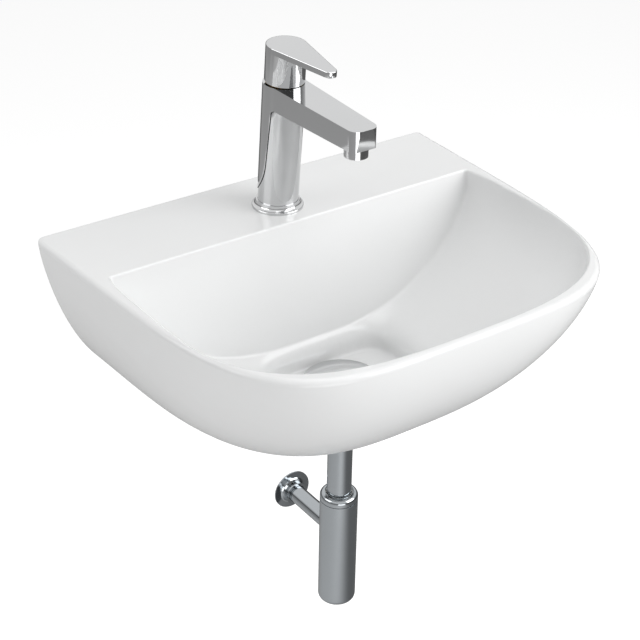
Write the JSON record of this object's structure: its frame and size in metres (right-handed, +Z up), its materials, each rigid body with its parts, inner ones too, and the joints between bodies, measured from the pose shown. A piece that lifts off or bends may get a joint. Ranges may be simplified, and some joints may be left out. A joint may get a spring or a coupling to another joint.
{
  "type": "wall-hung hand basin",
  "caption": "White wall-hung hand basin with a D-shaped bowl, chrome lever mixer tap, domed waste plug and slim bottle trap with a wall rosette.",
  "frame": {"origin": "midway between the two wall bolts, on the wall plane", "axes": "+X to the left of someone facing away from the wall, along the wall; +Y into the wall; +Z up"},
  "size_m": [0.4466, 0.3577, 0.571],
  "materials": {
    "glazed_china": "smooth glossy white glaze",
    "tap_chrome": "polished chrome plate",
    "waste_chrome": "polished chrome plate",
    "trap_chrome": "chrome plate, bluish grey",
    "brass": "turned brass",
    "steel": "plain steel",
    "black_rubber": "matte black rubber",
    "white_plastic": "moulded white plastic",
    "grey_plastic": "moulded grey plastic",
    "valve_ceramic": "lapped flat ceramic"
  },
  "bodies": {
    "basin_unit": {"basin": "glazed_china", "tap_body": "tap_chrome", "tap_base_ring": "tap_chrome", "aerator_housing": "tap_chrome", "waste_body": "waste_chrome", "trap_top_nut": "trap_chrome", "trap_inlet": "trap_chrome", "trap_bottle": "trap_chrome", "trap_arm": "trap_chrome", "tap_stud_front": "brass", "tap_stud_rear": "brass", "stud_nut_front": "brass", "stud_nut_rear": "brass", "cartridge_nut": "brass", "waste_back_nut": "brass", "bracket_plate": "steel", "tap_base_seal": "black_rubber", "bracket_gasket": "black_rubber", "aerator_washer": "black_rubber", "cartridge_seal": "black_rubber", "waste_flange_seal": "black_rubber", "waste_cone_seal": "black_rubber", "trap_top_seal": "black_rubber", "trap_collar_seal": "black_rubber", "aerator_insert": "white_plastic", "cartridge_body": "white_plastic", "waste_slip_washer": "white_plastic", "waste_guide": "white_plastic", "fixed_disc": "valve_ceramic"},
    "mixer_turn": {"cartridge_carrier": "white_plastic", "pivot_pin": "steel"},
    "control_disc": {"moving_disc": "valve_ceramic"},
    "lever": {"lever_handle": "tap_chrome", "lever_grub_screw": "steel", "lever_plug": "grey_plastic", "cartridge_spindle": "brass"},
    "waste_plug": {"waste_dome": "waste_chrome", "waste_stem": "steel", "waste_cap_seal": "black_rubber"},
    "collar_rise": {"trap_collar_washer": "white_plastic"},
    "union_collar": {"trap_collar": "trap_chrome"},
    "rosette": {"wall_rosette": "trap_chrome", "rosette_ring": "black_rubber"}
  },
  "joints": [
    {"name": "lever_swivel", "type": "hinge", "parent": "basin_unit", "child": "mixer_turn", "pos_m": [0, -0.0636, 0.065], "axis": [0, -0.0837, 0.9965], "range_deg": [-45, 45]},
    {"name": "lever_lift", "type": "hinge", "parent": "mixer_turn", "child": "lever", "pos_m": [0, -0.07467, 0.19679], "axis": [-1, 0, 0], "range_deg": [0, 12]},
    {"name": "disc_slide", "type": "slide", "parent": "mixer_turn", "child": "control_disc", "axis": [0, -0.9965, -0.0837], "range_m": [0, 0.0058]},
    {"name": "plug_lift", "type": "slide", "parent": "basin_unit", "child": "waste_plug", "axis": [0, 0, 1], "range_m": [0, 0.008]},
    {"name": "collar_lift", "type": "slide", "parent": "basin_unit", "child": "collar_rise", "axis": [0, 0, 1], "range_m": [0, 0.006]},
    {"name": "collar_turn", "type": "hinge", "parent": "collar_rise", "child": "union_collar", "pos_m": [0, -0.173, -0.209], "axis": [0, 0, 1], "range_deg": [0, 1083]},
    {"name": "rosette_slide", "type": "slide", "parent": "basin_unit", "child": "rosette", "axis": [0, -1, 0], "range_m": [0, 0.03]}
  ],
  "couplings": [
    {"joint": "disc_slide", "follows": "lever_lift", "m_per_rad": 0.02765},
    {"joint": "collar_turn", "follows": "collar_lift", "rad_per_m": 3141.6}
  ]
}
